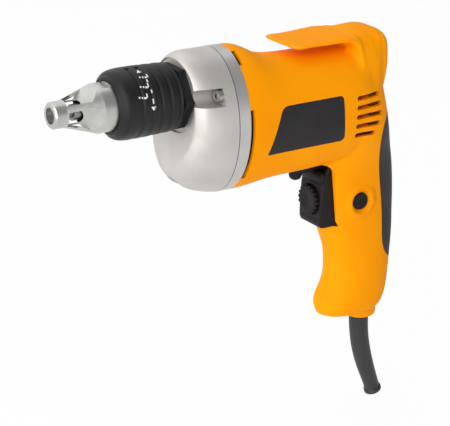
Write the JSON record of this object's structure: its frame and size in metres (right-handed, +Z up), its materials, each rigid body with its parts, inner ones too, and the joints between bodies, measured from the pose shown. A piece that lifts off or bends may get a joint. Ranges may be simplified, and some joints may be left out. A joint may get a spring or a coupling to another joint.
{
  "type": "drywall screwdriver",
  "caption": "Corded drywall screwdriver: slotted depth nose, ribbed depth sleeve, oval gear case, amber clamshell housing with belt hook, dial trigger and bent cord guard.",
  "frame": {"origin": "centre of the nose's flat face, on the spindle's axis", "axes": "+X from the nose to the back along the spindle's axis, -Y is the tool's left, +Z up"},
  "size_m": [0.2743, 0.072, 0.2876],
  "materials": {
    "cast_zinc": "die-cast zinc, sand-blasted",
    "black_rubber": "smooth rubber",
    "black_nylon": "satin glass-filled nylon",
    "tool_steel": "ground tool steel",
    "spring_steel": "spring wire",
    "magnet": "nickel-plated magnet",
    "bronze": "sintered bronze",
    "cast_aluminium": "satin bare casting",
    "zinc_plated_steel": "zinc-plated screws",
    "laminated_steel": "stacked steel sheets",
    "copper_wire": "varnished copper wire",
    "bearing_steel": "polished rings",
    "brush_brass": "pressed sheet",
    "carbon": "pressed carbon",
    "amber_nylon": "satin moulded nylon",
    "grey_soft_grip": "soft over-moulded grip",
    "name_plate_film": "plain printed film",
    "switch_black": "moulded plastic",
    "guard_rubber": "moulded rubber"
  },
  "bodies": {
    "tool": {"case_gasket": "black_rubber", "nose_tube": "black_nylon", "thrust_washer": "tool_steel", "clutch_spring": "spring_steel", "trigger_spring": "spring_steel", "lock_spring": "spring_steel", "spindle_bush": "bronze", "rear_bush": "bronze", "gear_case": "cast_aluminium", "gear_plate": "cast_aluminium", "case_screws": "zinc_plated_steel", "housing_screws": "zinc_plated_steel", "clamp_screws": "zinc_plated_steel", "field_core": "laminated_steel", "field_coils": "copper_wire", "front_bearing": "bearing_steel", "rear_bearing": "bearing_steel", "brush_holders": "brush_brass", "carbon_brushes": "carbon", "left_housing": "amber_nylon", "right_housing": "amber_nylon", "left_grip": "grey_soft_grip", "right_grip": "grey_soft_grip", "left_name_plate": "name_plate_film", "right_name_plate": "name_plate_film", "switch_body": "switch_black", "cord_clamp": "switch_black", "cord_guard": "guard_rubber"},
    "armature": {"armature_shaft": "tool_steel", "armature_core": "laminated_steel", "armature_windings": "copper_wire", "commutator": "copper_wire", "fan": "black_nylon"},
    "drive_gear": {"drive_gear": "tool_steel"},
    "spindle": {"spindle": "tool_steel", "bit_holder": "tool_steel", "driver_bit": "tool_steel", "bit_magnet": "magnet", "bit_ring": "spring_steel"},
    "index_ring": {"index_ring": "black_nylon"},
    "depth_sleeve": {"depth_sleeve": "black_nylon"},
    "locator": {"locator": "cast_zinc", "locator_ring": "black_rubber"},
    "trigger": {"trigger": "black_nylon"},
    "speed_dial": {"speed_dial": "black_nylon"},
    "reverse_lever": {"reverse_lever": "black_nylon"},
    "lock_button": {"lock_button": "black_nylon"}
  },
  "joints": [
    {"name": "motor_spin", "type": "hinge", "parent": "tool", "child": "armature", "pos_m": [0.16, 0, -0.022], "axis": [1, 0, 0], "continuous": true},
    {"name": "gear_spin", "type": "hinge", "parent": "tool", "child": "drive_gear", "pos_m": [0.109, 0, 0], "axis": [1, 0, 0], "continuous": true},
    {"name": "clutch_push", "type": "slide", "parent": "drive_gear", "child": "spindle", "axis": [1, 0, 0], "range_m": [0, 0.0022], "stiffness_N_per_m": 4000, "deforming": ["clutch_spring"]},
    {"name": "depth_turn", "type": "hinge", "parent": "index_ring", "child": "depth_sleeve", "pos_m": [0.06, 0, 0], "axis": [1, 0, 0], "range_deg": [0, 720]},
    {"name": "depth_slide", "type": "slide", "parent": "tool", "child": "index_ring", "axis": [-1, 0, 0], "range_m": [0, 0.004]},
    {"name": "locator_pull", "type": "slide", "parent": "index_ring", "child": "locator", "axis": [-1, 0, 0], "range_m": [0, 0.04]},
    {"name": "trigger_pull", "type": "slide", "parent": "tool", "child": "trigger", "axis": [1, 0, 0], "range_m": [0, 0.0065], "stiffness_N_per_m": 1500, "deforming": ["trigger_spring"]},
    {"name": "dial_turn", "type": "hinge", "parent": "trigger", "child": "speed_dial", "pos_m": [0.2, 0, -0.0923], "axis": [1, 0, 0], "range_deg": [-135, 135]},
    {"name": "reverse_swing", "type": "hinge", "parent": "tool", "child": "reverse_lever", "pos_m": [0.2315, 0, -0.0679], "axis": [0, 0, 1], "range_deg": [-6, 6]},
    {"name": "lock_push", "type": "slide", "parent": "tool", "child": "lock_button", "axis": [0, 1, 0], "range_m": [0, 0.0024], "stiffness_N_per_m": 1500, "deforming": ["lock_spring"]}
  ],
  "couplings": [
    {"joint": "gear_spin", "follows": "motor_spin", "ratio": -0.25714},
    {"joint": "depth_slide", "follows": "depth_turn", "m_per_rad": 0.00031831}
  ]
}
